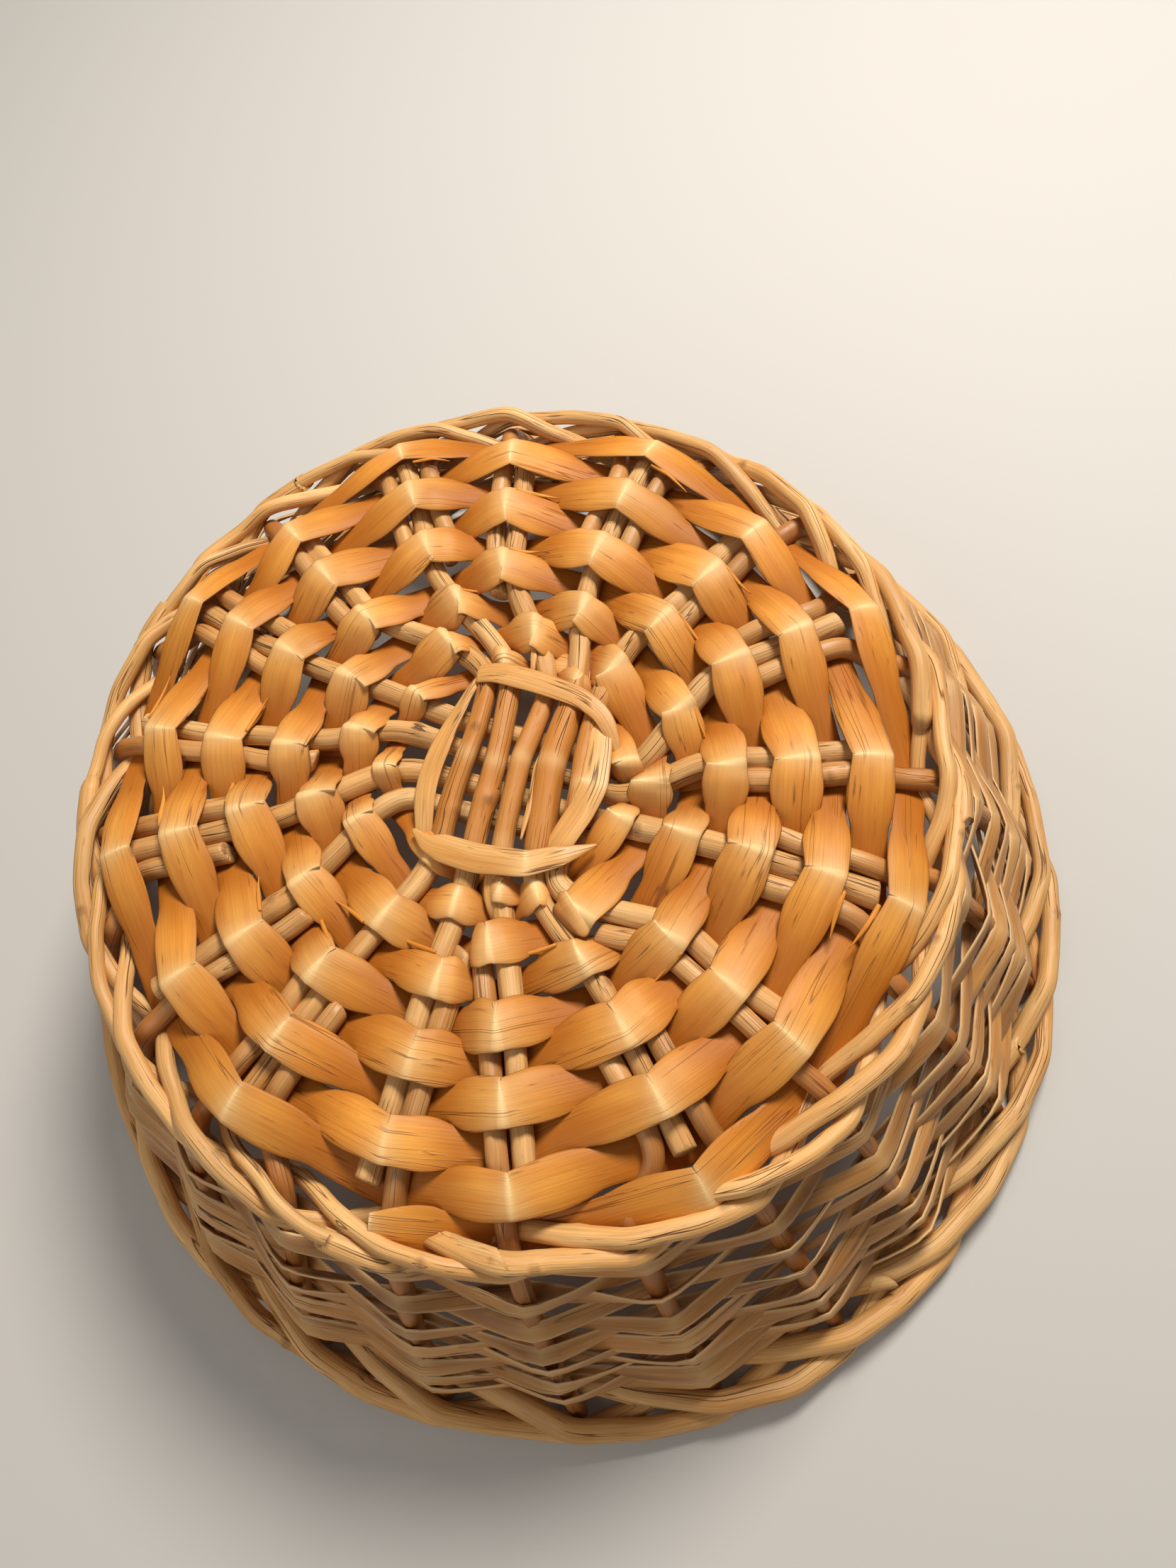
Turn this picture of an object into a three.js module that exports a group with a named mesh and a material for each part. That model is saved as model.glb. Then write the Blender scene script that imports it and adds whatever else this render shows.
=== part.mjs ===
// A round, shallow willow basket with a wide open mouth.
// It stands mouth down: +Z runs from the mouth to the base, and Z = 0 is the plane the border rests on.
// Sticks cross at the middle of the base and fan out as spokes, a flat skein winds over and under them,
// side stakes are tucked in beside the spokes and bend over the edge to carry the wall,
// a rope of rods runs round the edge of the base, and a second one is the border of the mouth.
import * as THREE from "three";

// Driving dimensions in millimetres. Radii are measured before the basket is pulled oval.
const baseRadius = 125; // axis to the outside of the edge rope
const mouthRadius = 167; // axis to the outside of the border
const height = 88; // resting plane to the outer face of the base's outermost row
const baseCrown = 6; // how far the middle of the base is pushed in towards the mouth
const ovalPull = 0.03; // share by which the basket is longer along Y and narrower along X

const stickDiameter = 6.6;
const stakeDiameter = 6;
const edgeRodDiameter = 4.4;
const borderRodDiameter = 5.6;
const baseSkein = { width: 9.2, thickness: 1.2 };
const sideSkein = { width: 4.6, thickness: 1.2 };
const binding = { width: 8, thickness: 1.2, overhang: 5 };

const stakeTuck = 38; // length of each side stake that lies in the base
const clearance = 0.4; // between pieces that would touch
const weaveMargin = 1; // along a skein, between a rod and the skein's turn beside it

// Both counts are odd, so one running skein passes each rod on the other side in the next row.
const spokeCount = 17;
const stakeCount = 25;
const lengthwiseSticks = 5; // the outer layer where the sticks cross
const crosswiseSticks = 4; // the inner layer; the last of them is cut off beside the crossing
const baseSkeinCount = 6;
const sideSkeinCount = 10;
const baseSkeinStart = 14; // the spoke that the innermost row starts under, winding outwards clockwise
const strandCount = 3; // rods in each rope

const firstSpokeAngle = THREE.MathUtils.degToRad(322.5);
const wallStartAngle = THREE.MathUtils.degToRad(50); // below the base plane, where the stakes turn down
const wallStartReach = 0.45; // share of the wall's chord that keeps the starting direction

const stickRadius = stickDiameter / 2;
const stakeRadius = stakeDiameter / 2;
const spokeStep = (2 * Math.PI) / spokeCount;
const spokeAngle = (i) => firstSpokeAngle + i * spokeStep;
const up = new THREE.Vector3(0, 0, 1);

const polar = (radius, angle, z) =>
  new THREE.Vector3(radius * Math.cos(angle), radius * Math.sin(angle), z);

// ---- Rods and skeins: a section carried along a chain of stations ----

// Each station holds its point and the two axes of the section there.
class Rail extends THREE.Curve {
  constructor(stations) {
    super();
    this.stations = stations;
  }
  getPoint(t) {
    const at = t * (this.stations.length - 1);
    const from = Math.min(Math.floor(at), this.stations.length - 2);
    const { point } = this.stations[from];
    return point.clone().lerp(this.stations[from + 1].point, at - from);
  }
  getSpacedPoints() {
    return this.stations.map(({ point }) => point);
  }
  computeFrenetFrames() {
    return {
      tangents: this.stations.map(({ x, y }) => x.clone().cross(y)),
      normals: this.stations.map(({ x }) => x),
      binormals: this.stations.map(({ y }) => y),
    };
  }
}

// A regular section with one of its flats facing the station's x axis.
function roundSection(radius, sides) {
  const corners = [];
  for (let i = 0; i < sides; i++) {
    const angle = ((i + 0.5) / sides) * 2 * Math.PI;
    corners.push(new THREE.Vector2(radius * Math.cos(angle), radius * Math.sin(angle)));
  }
  return new THREE.Shape(corners);
}

function flatSection(alongX, alongY) {
  const corner = (sx, sy) => new THREE.Vector2((sx * alongX) / 2, (sy * alongY) / 2);
  return new THREE.Shape([corner(-1, -1), corner(1, -1), corner(1, 1), corner(-1, 1)]);
}

const sweep = (section, stations) =>
  new THREE.ExtrudeGeometry(section, {
    steps: stations.length - 1,
    bevelEnabled: false,
    extrudePath: new Rail(stations),
  });

// Stations of a rod through the given points, square to its own bends and never turned on its axis.
function rodStations(points) {
  return points.map((point, i) => {
    const before = points[Math.max(i - 1, 0)];
    const after = points[Math.min(i + 1, points.length - 1)];
    const into = point.clone().sub(before).normalize();
    const outOf = after.clone().sub(point).normalize();
    const tangent = into.add(outOf).normalize();
    const x = up.clone().cross(tangent).normalize();
    return { point, x, y: tangent.clone().cross(x) };
  });
}

// Pulls the last station back, so that the next piece can start there without touching.
function trimEnd(stations) {
  const last = stations[stations.length - 1];
  const before = stations[stations.length - 2];
  const back = before.point.clone().sub(last.point).setLength(clearance);
  last.point = last.point.clone().add(back);
  return stations;
}

// ---- Layout of the base: levels are measured from the sticks' centre line at the edge ----

const thickestRadius = Math.max(stickRadius, stakeRadius);
const skeinLift = thickestRadius + clearance + baseSkein.thickness / 2;
const stickLevel = height - skeinLift - baseSkein.thickness / 2;

// A rope's rods pass the stakes at a slant, so they stand off by more than the two radii.
const ropeSlant = 1.08;
const ropeReach = (rodDiameter) => ropeSlant * (stakeRadius + rodDiameter / 2) + clearance;

// Two rods of a rope that pass each other lie this far above and below its middle.
const ropeLift = (rodDiameter) => rodDiameter / 2 + clearance;

const edgeReach = ropeReach(edgeRodDiameter);
const edgeSeat = edgeReach + clearance; // along the wall, from the stakes' bend to the edge rope
const wallOut = new THREE.Vector2(Math.cos(wallStartAngle), -Math.sin(wallStartAngle));
const bulge = (5 / 3) * edgeReach; // how far a rope stands out between two stakes
const bendRadius =
  baseRadius - edgeSeat * wallOut.x + bulge * wallOut.y - edgeRodDiameter / 2;

const stickEnd = bendRadius - clearance - edgeRodDiameter / 2;
const stickPitch = stickDiameter + clearance;
const fanRadius = 31; // from here out the spokes run straight
const firstRow = fanRadius + baseSkein.width / 2 + clearance;
const lastRow = stickEnd - baseSkein.width / 2;
const flatRadius = lastRow - baseSkein.width / 2;
const tuckStart = bendRadius - stakeTuck;
const fanOutStart = bendRadius - 0.8 * stakeTuck; // from here the stakes leave their spokes' sides
const besideStick = stickRadius + stakeRadius + clearance;

const crownShare = (radius) => Math.PI * Math.min(radius / flatRadius, 1);
const baseLevel = (radius) => (-baseCrown * (1 + Math.cos(crownShare(radius)))) / 2;
const baseSlope = (radius) =>
  (baseCrown * Math.sin(crownShare(radius)) * Math.PI) / (2 * flatRadius);

// ---- Side stakes: evenly round the wall, but never in line with the end of a base stick ----

function layOutStakes() {
  const least = besideStick / bendRadius;
  const stakes = [];
  for (let i = 0; i < stakeCount; i++) {
    const even = (i / stakeCount) * 2 * Math.PI + spokeStep / 4;
    const spoke = Math.round(even / spokeStep);
    const offset = even - spoke * spokeStep;
    const side = offset < 0 ? -1 : 1;
    const turn = side * Math.max(Math.abs(offset), least);
    stakes.push({ spoke: spoke % spokeCount, side, turn, angle: spokeAngle(spoke) + turn });
  }
  return stakes.sort((a, b) => a.angle - b.angle);
}
const stakes = layOutStakes();

// A stake's centre line in the base, in its spoke's own frame with X along the spoke.
function tuckedPoint(stake, radius) {
  const side = stake.side * besideStick;
  if (radius <= fanOutStart) return new THREE.Vector3(radius, side, baseLevel(radius));
  const bend = polar(bendRadius, stake.turn, 0);
  const share = (radius - fanOutStart) / (bendRadius - fanOutStart);
  const point = new THREE.Vector3(fanOutStart, side, 0).lerp(bend, share);
  point.z = baseLevel(radius);
  return point;
}

// ---- The wall's profile, from the stakes' bend to the border, as (radius, level) ----

const borderReach = ropeReach(borderRodDiameter);
const rodFlat = Math.cos(Math.PI / 6); // half the height of a six-sided rod of radius 1
const borderLevel = ropeLift(borderRodDiameter) + (borderRodDiameter / 2) * rodFlat;
const borderRadius = mouthRadius - (5 / 3) * borderReach - borderRodDiameter / 2;
const stakeEndLevel = clearance + stakeRadius * wallOut.x;

function wallProfile() {
  const top = new THREE.Vector2(bendRadius, stickLevel);
  const bottom = new THREE.Vector2(borderRadius, stakeEndLevel);
  const chord = top.distanceTo(bottom);
  const pull = top.clone().addScaledVector(wallOut, wallStartReach * chord);
  return new THREE.QuadraticBezierCurve(top, pull, bottom);
}
const profile = wallProfile();
const profileLength = profile.getLength();
const lastDirection = profile.getTangentAt(1);

// The stakes' centre line at a length down the wall, with the wall's outward and upward directions.
function wallFrame(length, angle) {
  const share = THREE.MathUtils.clamp(length / profileLength, 0, 1);
  const at = profile.getPointAt(share);
  const along = profile.getTangentAt(share);
  const out = polar(-along.y, angle, along.x);
  return { point: polar(at.x, angle, at.y), out, rise: polar(-along.x, angle, -along.y) };
}

// ---- Base sticks ----

const lengthwiseAngle = spokeAngle(0) + 9.5 * spokeStep - Math.PI / 2;

function stickGeometry({ layer, offset, spokes }) {
  const isOuter = layer > 0;
  const direction = isOuter ? lengthwiseAngle : lengthwiseAngle - Math.PI / 2;
  const crossing = ((isOuter ? crosswiseSticks : lengthwiseSticks) * stickPitch) / 2;
  const level = baseLevel(0) + layer * (stickRadius + clearance / 2);
  const side = polar(offset * stickPitch, direction + Math.PI / 2, level);
  const points = [];
  for (const end of [1, -1]) {
    const spoke = spokes[end > 0 ? 0 : 1];
    const run = [side.clone().add(polar(end * crossing, direction, 0))];
    if (spoke !== null)
      for (const share of [0, 0.3, 0.6, 1]) {
        const radius = THREE.MathUtils.lerp(fanRadius, stickEnd, share);
        run.push(polar(radius, spokeAngle(spoke), baseLevel(radius)));
      }
    points.push(...(end > 0 ? run.reverse() : run));
  }
  return sweep(roundSection(stickRadius, 8), rodStations(points));
}

// Which two spokes each stick becomes, from one side of the crossing to the other.
function layOutSticks() {
  const sticks = [];
  for (let i = 0; i < lengthwiseSticks; i++)
    sticks.push({ layer: 1, offset: i - (lengthwiseSticks - 1) / 2, spokes: [3 + i, 16 - i] });
  for (let i = 0; i < crosswiseSticks; i++) {
    const spokes = [i < crosswiseSticks - 1 ? 2 - i : null, 8 + i];
    sticks.push({ layer: -1, offset: (crosswiseSticks - 1) / 2 - i, spokes });
  }
  return sticks;
}

// ---- Bindings over the crossing of the sticks ----

function bindingGeometry(index) {
  const acrossOuter = index < 2;
  const end = index % 2 ? -1 : 1;
  const direction = acrossOuter ? lengthwiseAngle : lengthwiseAngle - Math.PI / 2;
  const sticksBeyond = acrossOuter ? crosswiseSticks : lengthwiseSticks;
  const sticksUnder = acrossOuter ? lengthwiseSticks : crosswiseSticks;
  const away = end * ((sticksBeyond * stickPitch) / 2 + clearance + binding.width / 2);
  const half = (sticksUnder * stickPitch) / 2 + binding.overhang;
  const layers = acrossOuter ? 1.5 * binding.thickness + clearance : 0.5 * binding.thickness;
  const level = baseLevel(0) + stickDiameter + 1.5 * clearance + layers;
  const y = polar(1, direction, 0);
  const travel = up.clone().cross(y);
  const middle = y.clone().multiplyScalar(away).setZ(level);
  const stations = [-half, half].map((along) => ({
    point: middle.clone().addScaledVector(travel, along),
    x: up,
    y,
  }));
  return sweep(flatSection(binding.thickness, binding.width), stations);
}

// ---- Base skeins: one spiral over and under the spokes, in several lengths ----

const baseTurns = Math.floor((lastRow - firstRow) / (baseSkein.width + clearance));
const basePitch = (lastRow - firstRow) / baseTurns;

// How far the rods of one spoke reach to one side of it, as an angle, under a row at this radius.
function spokeReach(spoke, side, radius) {
  const inner = radius - baseSkein.width / 2;
  const outer = radius + baseSkein.width / 2;
  let reach = Math.asin(stickRadius / inner);
  for (const stake of stakes) {
    if (stake.spoke !== spoke || stake.side !== side || outer + clearance < tuckStart) continue;
    for (const at of [Math.max(inner, tuckStart), outer]) {
      const point = tuckedPoint(stake, at);
      const angle = Math.abs(Math.atan2(point.y, point.x));
      reach = Math.max(reach, angle + Math.asin(stakeRadius / at));
    }
  }
  return reach + weaveMargin / radius;
}

function baseSkeinGeometry(first, last) {
  const stations = [];
  for (let crossing = first; crossing <= last; crossing++) {
    const radius = firstRow + (basePitch * crossing) / spokeCount;
    const spoke = baseSkeinStart - crossing + baseTurns * spokeCount;
    const lift = (crossing % 2 ? 1 : -1) * skeinLift;
    const sides = [1, -1];
    if (crossing === first) sides.shift();
    if (crossing === last) sides.pop();
    if (crossing === first || crossing === last) sides.splice(crossing === first ? 0 : 1, 0, 0);
    for (const side of sides) {
      const reach = side ? spokeReach(spoke % spokeCount, side, radius) : 0;
      const angle = spokeAngle(spoke) + side * reach;
      const x = polar(-baseSlope(radius), angle, 1).normalize();
      const y = polar(-1, angle, -baseSlope(radius)).normalize();
      stations.push({ point: polar(radius, angle, baseLevel(radius) + lift), x, y });
    }
  }
  return sweep(flatSection(baseSkein.thickness, baseSkein.width), trimEnd(stations));
}

// Splits a run of crossings so that every length starts and ends on the same side of a rod.
function splitRun(crossings, lengths) {
  const joints = [];
  for (let i = 0; i <= lengths; i++) joints.push(2 * Math.round((i * crossings) / lengths / 2));
  return joints.slice(1).map((end, i) => [joints[i], end]);
}

// ---- Side stakes ----

function stakeGeometry(stake) {
  const points = [];
  for (const radius of [tuckStart, fanOutStart]) points.push(tuckedPoint(stake, radius));
  const wallPoints = 6;
  for (let i = 0; i <= wallPoints; i++) {
    const { point } = wallFrame((profileLength * i) / wallPoints, stake.turn);
    points.push(point.setZ(point.z - stickLevel));
  }
  return sweep(roundSection(stakeRadius, 6), rodStations(points));
}

// ---- Ropes: three rods laid round the stakes, one inside and two outside at each ----

// A rod turns by 60 degrees about the rope's middle from a stake to halfway to the next.
const ropePhase = (strand, step) => Math.PI / 3 - (step * Math.PI) / 3 - (strand * 2 * Math.PI) / 3;

function ropeAngle(step) {
  const turns = Math.floor(step / 2 / stakeCount);
  const index = Math.floor(step / 2) % stakeCount;
  const next = (index + 1) % stakeCount;
  const here = stakes[index].angle;
  const there = stakes[next].angle + (next ? 0 : 2 * Math.PI);
  return (step % 2 ? (here + there) / 2 : here) + turns * 2 * Math.PI;
}

// Each rod starts and ends inside a stake, where the next rod takes over.
function ropeGeometry(strand, rodDiameter, reach, seat) {
  const start = (s) => (4 - 2 * s + 6) % 6;
  const next = (strand + stakeCount) % strandCount;
  const lift = ropeLift(rodDiameter);
  const stations = [];
  for (let step = start(strand); step <= 2 * stakeCount + start(next); step++) {
    const phase = ropePhase(strand, step);
    const { point, aside, along, x, y } = seat(ropeAngle(step));
    point.addScaledVector(aside, reach / 3 + (4 / 3) * reach * Math.cos(phase));
    point.addScaledVector(along, (lift * Math.sin(phase)) / Math.sin(Math.PI / 3));
    stations.push({ point, x, y });
  }
  return sweep(roundSection(rodDiameter / 2, 6), trimEnd(stations));
}

// The edge rope lies square to the stakes.
function edgeRopeSeat(angle) {
  const { point, out, rise } = wallFrame(edgeSeat, angle);
  return { point, aside: out, along: rise, x: rise, y: out };
}

// The border lies level on its resting plane, and leans only as its rods climb the stakes.
function borderSeat(angle) {
  const slope = lastDirection.x / -lastDirection.y;
  const x = up;
  const y = polar(1, angle, 0);
  return {
    point: polar(borderRadius - slope * (borderLevel - stakeEndLevel), angle, borderLevel),
    aside: y.clone().divideScalar(-lastDirection.y),
    along: polar(-slope, angle, 1),
    x,
    y,
  };
}

// ---- Side skeins: one spiral inside and outside the stakes, in several lengths ----

const ropeHalfHeight = (rodDiameter) => ropeLift(rodDiameter) + rodDiameter / 2 + clearance;
const wallTop = edgeSeat + ropeHalfHeight(edgeRodDiameter);
const borderTop = borderLevel + ropeHalfHeight(borderRodDiameter);
const wallBottom = profileLength - (borderTop - stakeEndLevel) / -lastDirection.y;
const sideRun = wallBottom - wallTop - sideSkein.width;
const sideTurns = Math.floor(sideRun / (sideSkein.width + clearance));
const sidePitch = sideRun / sideTurns;

function sideSkeinGeometry(first, last) {
  const lift = stakeRadius + clearance + sideSkein.thickness / 2;
  const stations = [];
  for (let crossing = first; crossing <= last; crossing++) {
    const length = wallTop + sideSkein.width / 2 + (sidePitch * crossing) / stakeCount;
    const { point, out, rise } = wallFrame(length, stakes[crossing % stakeCount].angle);
    point.addScaledVector(out, crossing % 2 ? lift : -lift);
    stations.push({ point, x: rise, y: out });
  }
  return sweep(flatSection(sideSkein.width, sideSkein.thickness), trimEnd(stations));
}

// ---- Assembly ----

const willow = (color, roughness) =>
  new THREE.MeshStandardMaterial({ color, roughness, metalness: 0 });
const finishes = {
  stick: willow(0xc99a5e, 0.6),
  stake: willow(0x9a5f2a, 0.6),
  baseSkein: willow(0xc8873f, 0.45),
  binding: willow(0xd6a468, 0.45),
  rod: willow(0xd2a56b, 0.6),
  sideSkein: willow(0xc79b66, 0.6),
};

function addPiece(parent, name, geometry, finish) {
  const mesh = new THREE.Mesh(geometry, finish.clone());
  mesh.name = name;
  parent.add(mesh);
  return mesh;
}

const basket = new THREE.Group();
basket.scale.set(1 - ovalPull, 1 + ovalPull, 1);

const base = new THREE.Group();
base.position.z = stickLevel;
basket.add(base);

layOutSticks().forEach((stick, i) =>
  addPiece(base, `base_stick_${i + 1}`, stickGeometry(stick), finishes.stick),
);
for (let i = 0; i < 4; i++)
  addPiece(base, `binding_${i + 1}`, bindingGeometry(i), finishes.binding);
splitRun(baseTurns * spokeCount, baseSkeinCount).forEach(([first, last], i) =>
  addPiece(base, `base_skein_${i + 1}`, baseSkeinGeometry(first, last), finishes.baseSkein),
);
stakes.forEach((stake, i) => {
  const piece = addPiece(base, `side_stake_${i + 1}`, stakeGeometry(stake), finishes.stake);
  piece.rotation.z = spokeAngle(stake.spoke);
});

const wall = new THREE.Group();
basket.add(wall);
splitRun(sideTurns * stakeCount, sideSkeinCount).forEach(([first, last], i) =>
  addPiece(wall, `side_skein_${i + 1}`, sideSkeinGeometry(first, last), finishes.sideSkein),
);
for (let i = 0; i < strandCount; i++) {
  const edgeRod = ropeGeometry(i, edgeRodDiameter, edgeReach, edgeRopeSeat);
  addPiece(wall, `edge_rod_${i + 1}`, edgeRod, finishes.rod);
  const borderRod = ropeGeometry(i, borderRodDiameter, borderReach, borderSeat);
  addPiece(wall, `border_rod_${i + 1}`, borderRod, finishes.rod);
}

export default basket;
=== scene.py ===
"""A round willow basket, standing mouth down: detailed rods and split skeins in place of the CAD solids."""
import math

import bpy
import numpy as np
from mathutils import Matrix, Vector


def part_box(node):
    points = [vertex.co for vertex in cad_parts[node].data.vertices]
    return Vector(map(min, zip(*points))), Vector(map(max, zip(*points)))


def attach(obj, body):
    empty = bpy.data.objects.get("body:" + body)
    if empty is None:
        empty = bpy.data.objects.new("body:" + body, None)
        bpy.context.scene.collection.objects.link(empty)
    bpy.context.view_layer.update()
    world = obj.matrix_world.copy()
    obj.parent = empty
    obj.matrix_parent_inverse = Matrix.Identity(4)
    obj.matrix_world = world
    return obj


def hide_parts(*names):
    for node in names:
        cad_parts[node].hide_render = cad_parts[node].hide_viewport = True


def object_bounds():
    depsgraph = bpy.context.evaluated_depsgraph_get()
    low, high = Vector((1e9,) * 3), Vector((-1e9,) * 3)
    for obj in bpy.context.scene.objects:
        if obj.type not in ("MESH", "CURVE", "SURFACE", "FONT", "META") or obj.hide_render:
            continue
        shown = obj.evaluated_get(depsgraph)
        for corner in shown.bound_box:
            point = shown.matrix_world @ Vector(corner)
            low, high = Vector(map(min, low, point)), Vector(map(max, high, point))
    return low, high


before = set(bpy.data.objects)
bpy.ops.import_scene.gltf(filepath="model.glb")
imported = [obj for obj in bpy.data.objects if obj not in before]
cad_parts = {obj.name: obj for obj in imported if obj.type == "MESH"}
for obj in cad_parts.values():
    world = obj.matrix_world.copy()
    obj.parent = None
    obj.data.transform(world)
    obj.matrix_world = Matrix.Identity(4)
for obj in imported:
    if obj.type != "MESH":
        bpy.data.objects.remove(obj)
cad_low, cad_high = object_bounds()
rng = np.random.default_rng(41)
TURN = 2 * math.pi
UP = np.array([0.0, 0.0, 1.0])


# ---- Sizes, in metres: places from the frame, and the rods' and skeins' own thicknesses ----

def span(prefix):
    """Lowest and highest corner of all CAD nodes whose names start with prefix."""
    boxes = [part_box(n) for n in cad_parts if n.startswith(prefix)]
    return np.min([b[0] for b in boxes], axis=0), np.max([b[1] for b in boxes], axis=0)


def mean_radius(prefix):
    low, high = span(prefix)
    return float((high - low)[:2].mean() / 2)


def node_count(prefix):
    return sum(n.startswith(prefix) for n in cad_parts)


size = np.array(cad_high) - np.array(cad_low)
OVAL = np.array([size[0], size[1], 0]) / size[:2].mean() + UP
HEIGHT = cad_high.z
MOUTH_RADIUS = mean_radius("border_rod")
ROPE_RADIUS = mean_radius("edge_rod")
BASE_RADIUS = 0.125  # before the basket is pulled oval; the camera's place is counted in it

# Radii of the rods, and widths and thicknesses of the skeins.
STICK_RADIUS = 0.0033
STAKE_RADIUS = 0.0030
EDGE_ROD_RADIUS = 0.0024
BORDER_ROD_RADIUS = 0.0030
SKEIN_WIDTH, SKEIN_THICK = 0.0126, 0.0008
SIDE_WIDTH, SIDE_THICK = 0.0053, 0.0011
BINDING_THICK = 0.0006
SKEIN_STAND = 0.0007  # from the side of a rod to the middle of a base skein that passes it

STICK_LEVEL = HEIGHT - STICK_RADIUS - 2 * SKEIN_THICK
BEND_RADIUS = ROPE_RADIUS - 0.0114  # where the stakes turn down
STICK_END = mean_radius("base_stick") - 0.0005
CROWN = 0.006  # how far the middle of the base is pushed in
SPOKES = 2 * node_count("base_stick") - 1  # one stick is cut off beside the crossing
STAKES = node_count("side_stake")
FIRST_SPOKE = math.radians(322.5)
BESIDE = STICK_RADIUS + STAKE_RADIUS + 0.0002  # from a stick's middle to that of a stake beside it
FAN_OUT = 0.105  # from this radius the stakes leave their spokes' sides


# ---- Small helpers ----

def polar(radius, angle, z=0.0):
    return np.array([radius * math.cos(angle), radius * math.sin(angle), z])


def unit(v):
    v = np.asarray(v, float)
    return v / np.maximum(np.linalg.norm(v, axis=-1, keepdims=True), 1e-12)


def smoothstep(low, high, x):
    t = np.clip((np.asarray(x, float) - low) / (high - low), 0, 1)
    return t * t * (3 - 2 * t)


def wander(n, step, reach, wave):
    """A smooth random line of n values, step apart, with the given reach and wavelength."""
    x = np.arange(n) * step
    out = np.zeros(n)
    for k in range(4):
        length = wave * rng.uniform(0.5, 1.8)
        out += rng.normal() * np.sin(TURN * (x / length + rng.random()))
    return out * reach / 2


def lengths_of(path):
    """How far along a path each of its points lies."""
    return np.r_[0, np.cumsum(np.linalg.norm(np.diff(path, axis=0), axis=1))]


def soften(points, step, radius):
    """The path through points, with a point at every step, and its corners rounded."""
    points = np.asarray(points, float)
    lengths = lengths_of(points)
    count = max(int(lengths[-1] / step), 3)
    at = np.linspace(0, lengths[-1], count + 1)
    path = np.stack([np.interp(at, lengths, points[:, i]) for i in range(3)], 1)
    reach = max(int(3 * radius / step), 1)
    kernel = np.exp(-0.5 * (np.arange(-reach, reach + 1) * step / radius) ** 2)
    kernel /= kernel.sum()
    head = 2 * path[0] - path[reach:0:-1] if count > reach else np.repeat(path[:1], reach, 0)
    tail = 2 * path[-1] - path[-2:-reach - 2:-1] if count > reach else np.repeat(path[-1:], reach, 0)
    padded = np.concatenate([head, path, tail])
    return np.stack([np.convolve(padded[:, i], kernel, "valid") for i in range(3)], 1)


def hermite(t, start, start_slope, end, end_slope):
    """The smooth step from start to end that has the given slopes there."""
    return (
        (2 * t**3 - 3 * t**2 + 1) * start
        + (t**3 - 2 * t**2 + t) * start_slope
        + (3 * t**2 - 2 * t**3) * end
        + (t**3 - t**2) * end_slope
    )


def stretched(values, count):
    """The given values drawn out evenly to count values."""
    return np.interp(np.linspace(0, 1, count), np.linspace(0, 1, len(values)), values)


def waver(n, step, reach, wave):
    """A random line of n points in space."""
    return np.stack([wander(n, step, reach, wave) for _ in range(3)], 1)


def tapered(radius, n, butt, tip):
    """Radii along a rod of n points, from its butt to its tip; both are random shares of radius."""
    return radius * np.linspace(rng.uniform(*butt), rng.uniform(*tip), n)


def split_run(crossings, count):
    """First and last crossing of each of count lengths, all starting and ending on the same side of a rod."""
    joints = [2 * round(i * crossings / count / 2) for i in range(count + 1)]
    return list(zip(joints[:-1], joints[1:]))


def travel(path):
    """The direction of a path at each of its points."""
    return unit(np.gradient(path, axis=0))


# ---- Meshes: rods and skeins as rings of points ----

ROD_SIDES = 14
ROD_ANGLES = np.arange(ROD_SIDES) / ROD_SIDES * TURN
KNOT_REACH = 0.0019
ACROSS = np.array([-1, -0.95, -0.8, -0.5, -0.17, 0.17, 0.5, 0.8, 0.95, 1.0])


def add_knots(radius, along, count):
    """Thickens radius at a few places, and returns how much of a knot each point of the rod holds."""
    bump = np.zeros((len(along), ROD_SIDES))
    places = rng.uniform(0.05, 0.95, count) * along[-1]
    for at, facing in zip(places, rng.uniform(0, TURN, count)):
        ring = np.exp(-(((along - at) / KNOT_REACH) ** 2))
        radius *= 1 + 0.035 * ring
        bump = np.maximum(bump, np.outer(ring, np.maximum(np.cos(ROD_ANGLES - facing), 0) ** 3))
    return bump


def side_directions(tangent):
    """A direction across a path at each of its points, carried along without twisting."""
    side = np.zeros_like(tangent)
    side[0] = unit(np.cross(tangent[0], UP))
    for i in range(1, len(tangent)):
        side[i] = unit(side[i - 1] - tangent[i] * (side[i - 1] @ tangent[i]))
    return side


def groove_depth(n, step, deepest):
    """How deep a rod's groove is at each of its points; it comes and goes, and wanders round the rod."""
    where = rng.random() * TURN + wander(n, step, 0.15, 0.06)
    turn = (ROD_ANGLES[None, :] - where[:, None] + math.pi) % TURN - math.pi
    deep = deepest * smoothstep(0, 0.4, 0.5 + wander(n, step, 0.6, 0.05))
    return deep[:, None] * np.exp(-((turn / 0.28) ** 2))


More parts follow.
